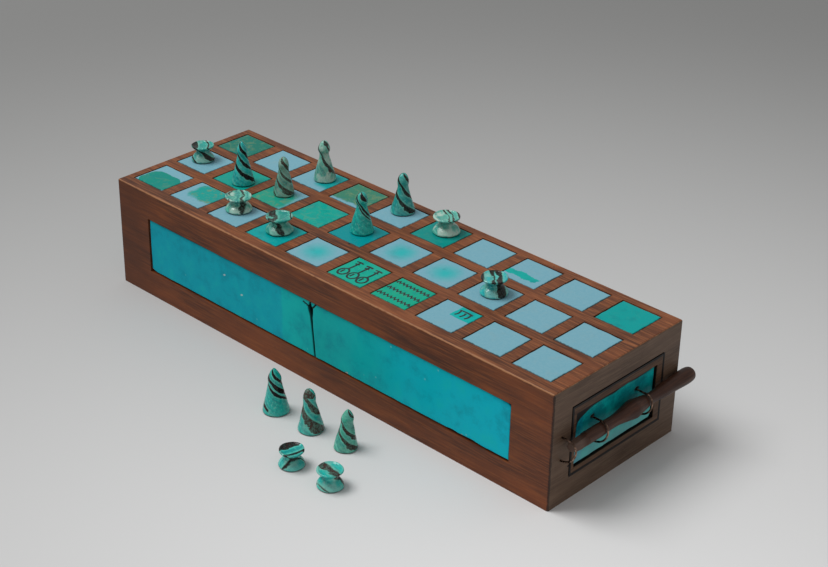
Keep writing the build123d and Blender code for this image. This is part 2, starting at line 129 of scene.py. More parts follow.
def oiled_hardwood(name, along, colours, roughness=0.5, wear_and_painted_light=1.0, joint=None, shaded_end=0.0):
    """Such wood in its dark, body and light colours, and the paler colour of a rubbed arris, which also
    paints in the highlight it catches. A joint is the box of a front that moves in it, round which painted
    shade darkens the gap, and the last value is how dark painted shade makes the closed end."""
    material, add, shader = new_material(name, roughness, 0.3)
    dark, body, light, worn_and_highlit = colours.split()
    place = add("TexCoord", give="Object")

    def grain(across_mm, along_mm, detail, seed):
        """Noise drawn out along the grain, sized by the width and length of its streaks."""
        scale = [1 / (across_mm * mm)] * 3
        scale[along] = 1 / (along_mm * mm)
        drawn = add("Mapping", {"Vector": place, "Scale": scale})
        return add("TexNoise", drawn, seed, 1.0, detail, 0.6, noise_dimensions="4D")

    figure = grain(9.0, 55.0, 3.0, 1.0)
    fibres = grain(0.8, 16.0, 4.0, 2.0)
    pores = grain(0.35, 3.2, 2.0, 3.0)
    blotches = grain(14.0, 22.0, 2.0, 4.0)
    pits = add("MapRange", pores, 0.62, 0.7, 0.0, 0.55)
    colour = lay(
        add,
        linear(dark),
        (body, figure, 0.34, 0.66, 1.0),
        (light, fibres, 0.46, 0.72, 0.75),
        (dark, blotches, 0.55, 0.78, 0.45),
        ("1c0f0b", pits),
    )
    # How far a spot is from the nearest outer arris of the case, going by its two nearest faces. The
    # end frame's arris shows less wear and less painted highlight, and worm holes are scattered over the
    # outside
    centred = add("VectorMath ABSOLUTE", place)
    inset = add("VectorMath SUBTRACT", case_corner, centred)
    end, side, top = add("SeparateXYZ", inset).node.outputs
    long_arris = add("Math ADD", side, top)
    end_arris = add("Math ADD", end, top)
    end_arris = add("Math ADD", end_arris, 0.17 * mm)
    arris = add("Math MINIMUM", long_arris, end_arris)
    # Painted highlight: the arris is painted pale for its wear and for the light it catches
    ragged = add("Math MULTIPLY_ADD", grain(1.1, 3.5, 3.0, 5.0), -0.6 * mm, arris)
    rubbed = add("MapRange SMOOTHSTEP", ragged, 0.38 * mm, 0.2 * mm, 0.0, wear_and_painted_light)
    bored = add("TexVoronoi", place, 0.0, 1 / (21 * mm))
    colour = lay(add, colour, (worn_and_highlit, rubbed), ("140b08", bored, 0.036, 0.024, wear_and_painted_light))
    if joint:
        # Painted shade darkens the joint round the drawer front: the wood inside the gap, and a ragged band
        # over its upper and near edge
        low, high = joint
        middle = (low + high) / 2 + Vector((0, 0.35 * mm, -0.35 * mm))
        off = add("VectorMath SUBTRACT", place, middle)
        off = add("VectorMath ABSOLUTE", off)
        off = add("VectorMath SUBTRACT", off, (high - low) / 2)
        _, off_y, off_z = add("SeparateXYZ", off).node.outputs
        off = add("Math MAXIMUM", off_y, off_z)
        inside = add("Math LESS_THAN", off, 1.0 * mm)
        off = add("Math ABSOLUTE", off)
        off = add("Math MULTIPLY_ADD", grain(1.0, 4.0, 3.0, 8.0), 0.5 * mm, off)
        gap_shade_on_face = add("MapRange", off, 1.05 * mm, 0.8 * mm)
        gap_shade_inside = add("MapRange", end, 0.25 * mm, 0.5 * mm)
        shallow = add("MapRange", end, 3.5 * mm, 2.0 * mm)
        gap_shade_inside = add("Math MULTIPLY", gap_shade_inside, shallow)
        gap_shade_inside = add("Math MULTIPLY", gap_shade_inside, inside)
        gap_shade_on_face = add("Math MULTIPLY", gap_shade_on_face, shallow)
        gap_shade = add("Math MAXIMUM", gap_shade_on_face, gap_shade_inside)
        colour = lay(add, colour, ("0c0807", gap_shade))
    # Painted shade darkens the closed end, and painted shade darkens the upright corners, as a rounded arris
    # in shadow
    run = add("SeparateXYZ", place, give="X")
    end_shade = add("MapRange SMOOTHSTEP", run, 34 * mm - half_length, 6 * mm - half_length, 0.0, shaded_end)
    # Painted shade: the upright corners are darkened as a rounded arris in shadow
    corner = add("Math ADD", side, end)
    corner = add("Math MULTIPLY_ADD", grain(1.5, 5.0, 3.0, 6.0), -0.8 * mm, corner)
    corner_shade = add("MapRange", corner, 0.5 * mm, 0.1 * mm, 0.0, 0.75 * wear_and_painted_light)
    under_top = add("Math GREATER_THAN", top, 0.6 * mm)
    corner_shade = add("Math MULTIPLY", corner_shade, under_top)
    colour = lay(add, colour, (dark, end_shade), ("1d120d", corner_shade))
    relief = add("Math SUBTRACT", fibres, pits)
    relief = add("Math MULTIPLY_ADD", blotches, 3.0, relief)
    surface = add("Bump", {"Height": relief, "Strength": 0.35, "Distance": 0.12 * mm})
    fill(shader, {"Base Color": colour, "Normal": surface})
    return material


def dress(material, *names):
    """Give CAD nodes whose shape is right their finish."""
    for name in names:
        for slot in nodes[name].material_slots:
            slot.material = material


front_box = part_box("drawer_front")
end_colours = "4c382a 675040 79634f a67c5c"
board_wood = oiled_hardwood("oiled_hardwood_of_board", ALONG_X, "4a2817 7c4526 a8683e 9c6a44")
side_wood = oiled_hardwood("oiled_hardwood_of_sides", ALONG_X, "44210f 743a17 8c4c20 9c6a44", shaded_end=0.55)
end_wood = oiled_hardwood("oiled_hardwood_of_ends", ALONG_Y, end_colours, joint=front_box)
closed_wood = oiled_hardwood("oiled_hardwood_of_closed_end", ALONG_Y, end_colours)
dress(board_wood, "top_board")
dress(side_wood, "near_side_board", "far_side_board")
dress(end_wood, "drawer_end_frame")
dress(closed_wood, "closed_end_board")

# ---- Bottom, runners, stop and pegs. Softwood parts inside the case, planed, never oiled and pegged up
# from below: to the eye pale, dry and dull, and darker at the pegs' cut ends, which drink in dirt.
bare_colours = "7a5a3c 94714d ab8860 ab8860"
bare_wood = oiled_hardwood("planed_bare_wood", ALONG_X, bare_colours, roughness=0.75, wear_and_painted_light=0.0)
peg_colours = "5b3f29 6f5036 80603f 80603f"
end_grain = oiled_hardwood("cut_peg_ends", ALONG_Z, peg_colours, roughness=0.8, wear_and_painted_light=0.0)
dress(bare_wood, "bottom_board", "near_drawer_runner", "far_drawer_runner", "drawer_stop")
dress(end_grain, "base_pegs")

# ---- Squares. Thirty flat tiles sit in pockets of the board. The green and turquoise ones are
# glazed faience, some only a fragment, and pale blue filler with a satin finish makes good the rest.
# Each was cut by hand, so no edge is quite straight and no face quite flat.
square_low, square_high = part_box("house_of_one_tile")
square_size = square_high - square_low
row_low, row_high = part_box("far_row_tiles")
columns = 10
column_pitch = (row_high.x - row_low.x - square_size.x) / (columns - 1)


def read(add, give, *labels):
    """What a mesh's points hold under these names, as vectors, colours or factors."""
    return [add("Attribute", give=give, attribute_name=label) for label in labels]


def new_tree(name, **inputs):
    """A geometry tree, the means to add to it, and the sockets of its inputs, named by their kind."""
    tree = bpy.data.node_groups.new(name, "GeometryNodeTree")
    for kind, labels in inputs.items():
        for label in labels.split():
            tree.interface.new_socket(label, in_out="INPUT", socket_type=f"NodeSocket{kind}")
    tree.interface.new_socket("Material", in_out="INPUT", socket_type="NodeSocketMaterial")
    tree.interface.new_socket("Geometry", in_out="OUTPUT", socket_type="NodeSocketGeometry")
    tree.nodes.new("NodeGroupOutput")
    return tree, partial(add_node, tree), tree.nodes.new("NodeGroupInput").outputs


def end_tree(add, form, given):
    """End a tree with its form made real, in its one material."""
    form = add("RealizeInstances", form)
    form = add("SetMaterial", form, True, given["Material"])
    fill(form.id_data.nodes["Group Output"], (form,))


def grow(name, tree, **values):
    """Run a geometry tree with these values and give what it makes as a plain mesh object."""
    piece = bpy.data.objects.new(name, bpy.data.meshes.new(name))
    bpy.context.scene.collection.objects.link(piece)
    modifier = piece.modifiers.new(name, "NODES")
    modifier.node_group = tree
    for item in tree.interface.items_tree:
        if item.in_out == "INPUT":
            modifier[item.identifier] = values[item.name]
    graph = bpy.context.evaluated_depsgraph_get()
    grown = bpy.data.meshes.new_from_object(
        piece.evaluated_get(graph), preserve_all_data_layers=True, depsgraph=graph
    )
    piece.modifiers.clear()
    piece.data = grown
    return piece


def strayed(add, seed, scale, detail, middle, weights, by):
    """How far the hand strays at each spot: noise about nothing, weighed on each axis and scaled."""
    stray = add("InputPosition")
    stray = add("TexNoise", stray, seed, scale, detail, give=1, noise_dimensions="4D")
    stray = add("VectorMath SUBTRACT", stray, middle)
    stray = add("VectorMath MULTIPLY", stray, weights)
    return add("VectorMath SCALE", {0: stray, "Scale": by})


square_tree, add, given = new_tree(
    "hand_cut_squares",
    Int="Columns",
    Float="Pitch Edge_Round Unevenness Seed",
    Vector="First_Middle Size",
)
divisions = 25  # of a square's face each way, drawn together towards its edges by a sine
block = add("MeshCube", given["Size"], divisions, divisions)
spot = add("InputPosition")
half_size = add("VectorMath SCALE", {0: given["Size"], "Scale": 0.5})
share = add("VectorMath DIVIDE", spot, half_size)
turned = add("VectorMath SCALE", {0: share, "Scale": math.pi / 2})
drawn = add("VectorMath SINE", turned)
placed = add("VectorMath MULTIPLY", drawn, half_size)
block = add("SetPosition", block, True, placed)
# The face falls away within the edge's round, measured in from the nearer edge
edge_round = given["Edge_Round"]
inset = add("VectorMath ABSOLUTE", spot)
inset = add("VectorMath SUBTRACT", half_size, inset)
inset_x, inset_y, _ = add("SeparateXYZ", inset).node.outputs
to_edge = add("Math MINIMUM", inset_x, inset_y)
leg = add("Math SUBTRACT", edge_round, to_edge)
leg = add("Math MAXIMUM", leg, 0.0)
leg = add("Math POWER", leg, 2.0)
hypotenuse = add("Math POWER", edge_round, 2.0)
rise = add("Math SUBTRACT", hypotenuse, leg)
rise = add("Math SQRT", rise)
fall = add("Math SUBTRACT", rise, edge_round)
height = add("SeparateXYZ", spot, give="Z")
is_face = add("Math GREATER_THAN", height, 0.0)
fall = add("Math MULTIPLY", fall, is_face)
fall = add("CombineXYZ", {"Z": fall})
block = add("SetPosition", {"Geometry": block, "Offset": fall})
block = add("StoreNamedAttribute", block, True, "across", spot, data_type="FLOAT_VECTOR")
step = add("CombineXYZ", given["Pitch"])
line = {"Count": given["Columns"], "Start Location": given["First_Middle"], "Offset": step}
row = add("MeshLine", line)
row = add("InstanceOnPoints", row, True, block)
number = add("InputIndex")
row = add("StoreNamedAttribute", row, True, "square", number, data_type="INT", domain="INSTANCE")
row = add("RealizeInstances", row)
hand = given["Unevenness"]
sway = strayed(add, given["Seed"], 1 / (6 * mm), 3.0, (0.5, 0.5, 0.75), (1.0, 1.0, 0.1), hand)
row = add("SetPosition", {"Geometry": row, "Offset": sway})
row = add("SetShadeSmooth", row)
end_tree(add, row, given)

# Faience, a paste of ground quartz pressed flat and fired under a copper glaze, and blue filler trowelled
# in where it is lost. To the eye: a soft gloss, clouded green to turquoise, ragged at a broken fragment's
# edge, brown-green stains in it, against flat and milky blue.
tile_glaze, add, shader = new_material("glazed_faience_and_filler", 0.26, 0.1)
place = add("TexCoord", give="Object")
across, middle, half = read(add, "Vector", "across", "fragment_middle", "fragment_half")
(habit,) = read(add, "Vector", "fragment_habit")
filler, faience = read(add, "Color", "filler", "faience")
softness, raggedness, mottle = add("SeparateXYZ", habit).node.outputs
# Distance from the outline of the fragment, a rounded oblong, less than nothing inside it
corner = add("SeparateXYZ", half, give="Z")
out = add("VectorMath SUBTRACT", across, middle)
out = add("VectorMath ABSOLUTE", out)
out = add("VectorMath SUBTRACT", out, half)
out_x, out_y, _ = add("SeparateXYZ", out).node.outputs
out_x, out_y = [add("Math ADD", out, corner) for out in (out_x, out_y)]
past = add("CombineXYZ", *[add("Math MAXIMUM", out, 0.0) for out in (out_x, out_y)])
past = add("VectorMath LENGTH", past, give="Value")
within = add("Math MAXIMUM", out_x, out_y)
within = add("Math MINIMUM", within, 0.0)
outline = add("Math ADD", past, within)
outline = add("Math SUBTRACT", outline, corner)
broken = add("TexNoise", place, 0.0, 1 / (4.5 * mm), 5.0, 0.6)
broken = add("Math SUBTRACT", broken, 0.5)
outline = add("Math MULTIPLY_ADD", broken, raggedness, outline)
inner = add("Math MULTIPLY", softness, -1.0)
glazed = add("MapRange SMOOTHSTEP", outline, softness, inner)
clouds = add("TexNoise", place, 0.0, 1 / (7 * mm), 4.0, 0.62)
specks = add("TexNoise", place, 0.0, 1 / (1.3 * mm), 3.0)
veins = {"Vector": place, "Scale": 1 / (3.6 * mm), "Detail": 5.0, "Roughness": 0.65, "Distortion": 0.8}
stain = add("MapRange", add("TexNoise", veins), 0.5, 0.66, 0.0, 0.75)
stain = add("Math MULTIPLY", stain, mottle)
faience = lay(add, faience, ("7d8f68", stain), ("027f83", clouds, 0.48, 0.3, 0.5))
filler = lay(add, filler, ("93b9c2", specks, 0.35, 0.7, 0.22), ("8aa6a8", clouds, 0.55, 0.75, 0.3))
# Painted shade of the gap between squares darkens a ragged line along each square's edge
inward = add("VectorMath ABSOLUTE", across)
inward = add("VectorMath SUBTRACT", square_size / 2, inward)
inward_x, inward_y, _ = add("SeparateXYZ", inward).node.outputs
inward = add("Math MINIMUM", inward_x, inward_y)
inward = add("Math MULTIPLY_ADD", specks, -0.9 * mm, inward)
finish = lay(add, filler, (faience, glazed), ("2b4244", inward, 0.15 * mm, -0.2 * mm, 0.75))
skin = add("Bump", {"Height": clouds, "Strength": 0.25, "Distance": 0.25 * mm})
fill(shader, {"Base Color": finish, "Normal": skin})

# What each square looks like: its faience, the fragment of it that is there (middle, half size and
# corner), its mottling, how soft and how ragged the fragment's outline is, and its filler. In mm
WHOLE = (0, 0, 14, 14, 0)
SPOT = (0, 0, 5.5, 5.5, 5.5)
PALE = ("0b8b8b", (0, 0, -9, -9, 0))
GLOWING = ("2fb0b2", SPOT, 0.0, 5.5, 3.0)
row_looks = {
    "near_row": [
        ("088a7c", (0.8, -3.6, 10.2, 7.6, 5.0), 0.3, 0.1, 1.6),
        ("179a90", (2.2, 3.0, 9.0, 7.0, 4.0), 1.0, 1.4, 6.0),
        PALE,
        ("06a0a0", WHOLE, 0.1),
        ("2fb0b2", SPOT, 0.0, 6.0, 2.0, "78abba"),
    ],
    "middle_row": [
        PALE,
        ("099a8c", WHOLE, 0.15),
        ("1f9a82", (-1.6, -3.0, 11.0, 9.0, 5.0), 0.7, 2.4, 6.0),
        ("08a091", WHOLE, 0.35),
        ("028f94", WHOLE, 0.05),
        *[GLOWING] * 2,
        *[PALE] * 3,
    ],
    "far_row": [
        ("1c7566", WHOLE, 0.6),
        PALE,
        ("17a0a0", (7.5, 3.0, 6.0, 9.0, 4.0), 0.0, 2.0, 3.0),
        ("3a8068", (0.0, 2.5, 12.0, 10.5, 1.5), 0.9, 0.8, 4.0),
        PALE,
        ("078e86", WHOLE, 0.12),
        PALE,
        ("0ca89f", (-1.5, -4.2, 9.5, 1.9, 0.6), 0.0, 0.1, 6.5),
        PALE,
        ("009b98", WHOLE, 0.05),
    ],
}
house_looks = {
    "house_of_beauty": ("10a890", WHOLE, 0.12),
    "house_of_water": ("0fa587", WHOLE, 0.12),
    "house_of_three": ("06aca6", (5.2, 5.4, 6.2, 4.8, 0.6), 0.0, 0.1, 1.4),
    "house_of_two": PALE,
    "house_of_one": PALE,
}


def square_look(faience, fragment, mottle=0.0, soft=0.1, ragged=0.0, filler="74a9b9"):
    """One square's own values for the glaze, under the names that the material reads."""
    x, y, half_x, half_y, corner = fragment
    return {
        "filler": linear(filler),
        "faience": linear(faience),
        "fragment_middle": (x * mm, y * mm, 0.0),
        "fragment_half": (half_x * mm, half_y * mm, corner * mm),
        "fragment_habit": (soft * mm, ragged * mm, mottle),
    }


def store(mesh, label, values):
    """Keep a number, vector or colour for each point of a mesh, for its material to read by name."""
    kinds = {1: ("FLOAT", "value"), 3: ("FLOAT_VECTOR", "vector"), 4: ("FLOAT_COLOR", "color")}
    kind, field = kinds[len(values) // len(mesh.vertices)]
    mesh.attributes.new(label, kind, "POINT").data.foreach_set(field, values)


def lay_squares(name, tiles_name, looks):
    """Cut a row of squares to the size and place of its CAD tiles, and give each its look."""
    low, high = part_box(tiles_name)
    looks = [square_look(*look) for look in looks]
    piece = grow(
        name,
        square_tree,
        Columns=len(looks),
        Pitch=column_pitch,
        First_Middle=(low.x + square_size.x / 2, (low.y + high.y) / 2, (low.z + high.z) / 2),
        Size=square_size - Vector((0.35 * mm, 0.35 * mm, 0.0)),
        Edge_Round=0.45 * mm,
        Unevenness=1.1 * mm,
        Seed=3.0,
        Material=tile_glaze,
    )
    owner = [0] * len(piece.data.vertices)
    piece.data.attributes["square"].data.foreach_get("value", owner)
    for label in looks[0]:
        store(piece.data, label, [number for square in owner for number in looks[square][label]])
    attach(piece, "case")
    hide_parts(tiles_name)


for row_name, looks in row_looks.items():
    lay_squares(f"{row_name}_squares", f"{row_name}_tiles", looks)
for house, look in house_looks.items():
    lay_squares(f"{house}_square", f"{house}_tile", [look])

# ---- Signs on three of the houses, painted in black before the glaze was fired, so that they stand
# a hair proud of it: lotus buds, rows of water, and tally strokes on what is left of the third.
stroke_height = 0.08 * mm


def flat_strokes(add, lines, given):
    """Nodes that sweep a round brush along lines, press it flat on the glaze and end the tree."""
    stroke = given["Stroke"]
    floor_z = add("SeparateXYZ", given["Middle"], give="Z")
    facing = add("SetCurveNormal", lines, mode="Z_UP")
    brush = add("CurvePrimitiveCircle", {"Resolution": 8, "Radius": stroke})
    swept = {"Curve": facing, "Profile Curve": brush, "Fill Caps": True}
    swept = add("CurveToMesh", swept)
    spot = add("InputPosition")
    x, y, z = add("SeparateXYZ", spot).node.outputs
    pressed = add("Math SUBTRACT", z, floor_z)
    squeeze = add("Math DIVIDE", stroke_height, stroke)
    pressed = add("Math MULTIPLY_ADD", pressed, squeeze, floor_z)
    flat = add("CombineXYZ", x, y, pressed)
    flat = add("SetPosition", swept, True, flat)
    end_tree(add, flat, given)


# Manganese black, brushed on and fired in under the glaze: glossy, and greener where it is thin.
black_paint, add, shader = new_material("fired_manganese_black", 0.32)
place = add("TexCoord", give="Object")
thin = add("TexNoise", place, 0.0, 1 / (0.9 * mm), 3.0)
fill(shader, {"Base Color": lay(add, linear("10201f"), ("14524b", thin, 0.5, 0.72, 0.6))})

zigzag_tree, add, given = new_tree(
    "rows_of_water",
    Int="Rows Teeth",
    Float="Tooth_Pitch Tooth_Height Row_Spacing Stroke Seed",
    Vector="Middle",
)
bends = add("Math MULTIPLY_ADD", given["Teeth"], 2.0, 1.0)
half_pitch = add("Math MULTIPLY", given["Tooth_Pitch"], 0.5)
start_x = add("Math MULTIPLY", given["Teeth"], -1.0)
start_x = add("Math MULTIPLY", start_x, half_pitch)
start, step = [add("CombineXYZ", x) for x in (start_x, half_pitch)]
water = add("MeshLine", {"Count": bends, "Start Location": start, "Offset": step})
turn = add("Math MODULO", add("InputIndex"), 2.0)
turn = add("Math SUBTRACT", turn, 0.5)
rise = add("Math MULTIPLY", turn, given["Tooth_Height"])
rise = add("CombineXYZ", {"Y": rise})
water = add("SetPosition", {"Geometry": water, "Offset": rise})
gap = add("CombineXYZ", {"Y": given["Row_Spacing"]})
first = add("Math ADD", given["Rows"], -1.0)
first = add("Math MULTIPLY", first, -0.5)
first = add("VectorMath SCALE", {0: gap, "Scale": first})
first = add("VectorMath ADD", first, given["Middle"])
stack = add("MeshLine", {"Count": given["Rows"], "Start Location": first, "Offset": gap})
stack = add("InstanceOnPoints", stack, True, water)
stack = add("RealizeInstances", stack)
slip = strayed(add, given["Seed"], 1 / (1.7 * mm), 2.0, (0.5, 0.5, 0.5), (1.0, 1.0, 0.0), 0.9 * mm)
stack = add("SetPosition", {"Geometry": stack, "Offset": slip})
flat_strokes(add, add("MeshToCurve", stack), given)


def house_middle(house):
    """The middle of a house square's face."""
    low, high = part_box(f"{house}_tile")
    return Vector(((low.x + high.x) / 2, (low.y + high.y) / 2, high.z - 0.05 * mm))


water_signs = grow(
    "house_of_water_signs",
    zigzag_tree,
    Rows=3,
    Teeth=9,
    Tooth_Pitch=2.1 * mm,
    Tooth_Height=1.7 * mm,
    Row_Spacing=6.2 * mm,
    Stroke=0.82 * mm,
    Middle=house_middle("house_of_water"),
    Seed=4.0,
    Material=black_paint,
)
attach(water_signs, "case")

brush_tree, add, given = new_tree("brush_strokes", Object="Drawing", Vector="Middle", Float="Stroke")
lines = add("ObjectInfo", given["Drawing"], give="Geometry")
lines = add("ResampleCurve", {"Curve": lines, "Length": 0.25 * mm}, mode="LENGTH")
lines = add("Transform", {"Geometry": lines, "Translation": given["Middle"]})
pressure = {"Vector": add("InputPosition"), "Scale": 1 / (1.5 * mm)}
pressure = add("Math ADD", add("TexNoise", pressure), 0.55)
lines = add("SetCurveRadius", lines, True, pressure)
flat_strokes(add, lines, given)


def grow_drawn(name, tree, lines, fineness, **values):
    """Grow a piece from smooth lines, each a list of knots: a place, and if it is a sharp corner."""
    drawing = bpy.data.curves.new(name, "CURVE")
    drawing.dimensions = "3D"
    drawing.resolution_u = fineness
    for knots in lines:
        line = drawing.splines.new("BEZIER")
        line.bezier_points.add(len(knots) - 1)
        for knot, (place, sharp) in zip(line.bezier_points, knots):
            knot.co = place
            knot.handle_left_type = knot.handle_right_type = "VECTOR" if sharp else "AUTO"
    holder = bpy.data.objects.new(f"{name}_drawing", drawing)
    piece = grow(name, tree, Drawing=holder, **values)
    bpy.data.objects.remove(holder)
    return piece


def brushed_signs(name, strokes, place, stroke):
    """Paint strokes, each a list of points in millimetres that a smooth line goes through."""
    lines = [[((x * mm, y * mm, 0), False) for x, y in points] for points in strokes]
    piece = grow_drawn(name, brush_tree, lines, 6, Middle=place, Stroke=stroke, Material=black_paint)
    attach(piece, "case")


# A lotus bud lies with its head to the near side: the bud, its stem, and a short bar at the end
bud = [(0, -1.0), (-2.1, -3.0), (-2.0, -6.0), (0, -7.4), (2.0, -6.0), (2.1, -3.0), (0, -1.0)]
vein = [(-0.6, -2.9), (-0.7, -5.8)]
stem = [(0, -1.0), (0.15, 2.5), (0, 6.6)]
bar = [(-2.0, 6.3), (0.2, 6.7), (2.0, 6.4)]
tie = [(-1.2, 4.4), (1.2, 4.6)]
buds = [
    [(x + shift, y) for x, y in line] for shift in (-5.8, 0.2, 6.0) for line in (bud, vein, stem, bar, tie)
]
brushed_signs("house_of_beauty_signs", buds, house_middle("house_of_beauty"), 0.6 * mm)
tallies = [[(x, 6.4), (x + 0.3, 4.2), (x - 0.3, 2.4)] for x in (1.0, 3.9, 6.6)]
tallies += [[(0.2, 6.9), (3.6, 7.2), (7.4, 6.8)]]
brushed_signs("house_of_three_signs", tallies, house_middle("house_of_three"), 0.58 * mm)

# ---- Inlays of the walls. Thin slabs of glazed faience, bedded in the wood and set back a little.
# The near one has broken across, and the two parts have lost some glaze along the break.

# Faience slabs, cast flat and fired under a thick copper glaze. To the eye: a deep turquoise that drifts
# from blue to green along the box, clouded where the glaze pooled, with pale pinholes, and dull brown
# body where it is lost; the same dark paints shade round the slab's edge and on its back and rim.
inlay_glaze, add, shader = new_material("glazed_faience_slab", 0.3, 0.07)
place = add("TexCoord", give="Object")
(across,) = read(add, "Vector", "across")
lost_and_shaded, chipped, deepened = read(add, "Fac", "lost_and_shaded", "chipped", "deepened")
run = add("SeparateXYZ", across, give="X")
drift = add("TexNoise", place, 0.0, 1 / (16 * mm), 5.0, 0.65)
drift = add("Math SUBTRACT", drift, 0.5)
run = add("Math MULTIPLY_ADD", drift, 5 * mm, run)
run = add("MapRange", run, -118 * mm, 118 * mm)
hues = add("ValToRGB", run)
stops = {
    **{0.00: "01a1b4", 0.30: "01a3b4", 0.405: "03a6b6", 0.410: "06b4b4"},
    **{0.52: "04a8a7", 0.66: "05aeb2", 0.74: "03b2c0", 1.00: "03b6ca"},
}
ramp = hues.node.color_ramp
while len(ramp.elements) < len(stops):
    ramp.elements.new(0.5)
for stop, (position, colour) in zip(ramp.elements, stops.items()):
    stop.position = position
    stop.color = linear(colour)
clouds = add("TexNoise", place, 0.0, 1 / (11 * mm), 6.0, 0.68)
pins = add("TexVoronoi", place, 0.0, 1 / (9 * mm))
blotted = add("MapRange", clouds, 0.6, 0.42, 0.15)
deepened = add("Math MULTIPLY", blotted, deepened)
glaze = lay(
    add,
    hues,
    ("027f92", clouds, 0.5, 0.3, 0.55),
    ("14bdb4", clouds, 0.52, 0.75, 0.5),
    ("8fd3c6", pins, 0.075, 0.025, 0.4),
    ("053d49", deepened),
    ("cfd6cd", chipped),
    ("1b1512", lost_and_shaded),
)
dull = add("MapRange", lost_and_shaded, 0.0, 1.0, 0.3, 0.9)
skin = add("Bump", {"Height": clouds, "Strength": 0.3, "Distance": 0.35 * mm})
fill(shader, {"Base Color": glaze, "Roughness": dull, "Normal": skin})


def along_edge(points, at):
    """How far an edge is set in at a place along it, read between given points in order."""
    if at <= points[0][0]:
        return points[0][1]
    for (start, first), (end, second) in zip(points, points[1:]):
        if at <= end:
            return first + (second - first) * (at - start) / (end - start)
    return points[-1][1]


def held_mesh(name, vertices, faces, material):
    """An object of plain faces in one material."""
    mesh = bpy.data.meshes.new(name)
    mesh.from_pydata(vertices, [], faces)
    mesh.materials.append(material)
    piece = bpy.data.objects.new(name, mesh)
    bpy.context.scene.collection.objects.link(piece)
    return piece


EVEN = ([(0, 0)], [(0, 0)])  # a tone with nothing deeper or paler


def faience_slab(name, node, outward, body, cells, edges={}, losses=(), chips=(), tone=EVEN):
    """A slab in the place of its CAD node, with a rounded and uneven edge. Its edges are set in as
    their points say; losses and chips are (along, up, radius, depth) in millimetres. The tone says how
    deep and how pale its glaze is at points from its foot to its top."""
    low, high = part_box(node)
    up = Vector((0, 0, 1))
    outward = Vector(outward)
    run = up.cross(outward)
    start, end = sorted((low.dot(run), high.dot(run)))
    back, face = sorted((low.dot(outward), high.dot(outward)))
    count_u, count_v = cells
    edge_round = 0.7 * mm
    vertices, across, lost_and_shaded, chipped, deepened = [], [], [], [], []
    for side, j, i in product((face, back), range(count_v + 1), range(count_u + 1)):
        s = 0.5 - 0.5 * math.cos(math.pi * i / count_u)
        t = 0.5 - 0.5 * math.cos(math.pi * j / count_v)
        u = start + s * (end - start)
        z = low.z + t * (high.z - low.z)
        inset = {}
        for edge, at in (("left", z), ("right", z), ("low", u), ("top", u)):
            points = edges.get(edge, [(0, 0)])
            wander = noise.noise(Vector((at / (5 * mm), len(edge) * 7.3, len(name))))
            inset[edge] = (along_edge(points, at / mm) + 0.16 + 0.16 * wander) * mm
        left, right = start + inset["left"], end - inset["right"]
        bottom, top = low.z + inset["low"], high.z - inset["top"]
        u = left + s * (right - left)
        z = bottom + t * (top - bottom)
        # Painted shade: the back and rim are painted dark, and a ragged ring round the face's edge where it
        # meets the pocket
        depth, edge_shade = 0.0, 1.0
        if side == face:
            near_edge = min(u - left, right - u, z - bottom, top - z)
            into = edge_round - min(max(near_edge, 0.0), edge_round)
            depth = edge_round - math.sqrt(edge_round**2 - into**2)
            uneven = noise.noise(Vector((u / (14 * mm), z / (14 * mm), len(name))))
            depth += (0.12 + 0.12 * uneven) * mm
            edge_shade = min(max(0.45 - near_edge / mm + 0.5 * uneven, 0.0) / 0.5, 0.85)
        rough = noise.noise(Vector((u / (0.9 * mm), z / (0.9 * mm), 3.0)))
        marks = []
        for places in (losses, chips):
            mark = 0.0
            for spot_u, spot_z, radius, deep in places:
                off = math.hypot(u / mm - spot_u, z / mm - spot_z) / radius
                share = min(max((1.25 + 0.35 * rough - off) / 0.5, 0.0), 1.0)
                mark = max(mark, share)
                depth = max(depth, share * deep * mm)
            marks.append(mark)
        deep, pale = (along_edge(points, z / mm) for points in tone)
        lost_and_shaded.append(max(marks[0], edge_shade))
        chipped.append(max(marks[1], pale))
        deepened.append(deep)
        across += (u, z, 0.0)
        level = face - depth if side == face else back
        vertices.append(run * u + up * z + outward * level)
    # The two sheets, then the rim that joins them
    faces = []
    row, sheet = count_u + 1, (count_u + 1) * (count_v + 1)
    for j, i in product(range(count_v), range(count_u)):
        corner = j * row + i
        faces.append((corner, corner + 1, corner + row + 1, corner + row))
        corner += sheet
        faces.append((corner, corner + row, corner + row + 1, corner + 1))
    rim = [*range(row)] + [j * row + count_u for j in range(1, count_v + 1)]
    rim += [count_v * row + i for i in reversed(range(count_u))]
    rim += [j * row for j in reversed(range(1, count_v))]
    faces += [(here, here + sheet, after + sheet, after) for here, after in zip(rim, rim[1:] + rim[:1])]
    piece = held_mesh(name, vertices, faces, inlay_glaze)
    marked = {"lost_and_shaded": lost_and_shaded, "chipped": chipped, "deepened": deepened, "across": across}
    for label, values in marked.items():
        store(piece.data, label, values)
    piece.data.shade_smooth()
    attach(piece, body)
    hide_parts(node)


# The break runs down from the top, widest where a wedge of glaze is gone, and closes to a hairline.
# Each side of it is set in from that slab's furthest point, along the break's own slant
wedge_left = [(14, 0.15), (30, 0.25), (35.0, 0.4), (37.2, 1.1), (39.3, 1.5), (40.6, 0.5), (42.5, 0.1)]
wedge_right = [(14, 0.1), (30, 0.2), (34.5, 0.3), (36.8, 0.9), (38.8, 1.2), (40.2, 0.4), (42.5, 0.1)]
break_line = [(14.0, -0.2), (42.5, -3.2)]  # (height, along) at its foot and at its head
closed_end_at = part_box("near_inlay_closed_half")[1].x / mm
drawer_end_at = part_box("near_inlay_drawer_half")[0].x / mm
closed_side = [(z, inset + closed_end_at - along_edge(break_line, z)) for z, inset in wedge_left]
drawer_side = [(z, inset + along_edge(break_line, z) - drawer_end_at) for z, inset in wedge_right]
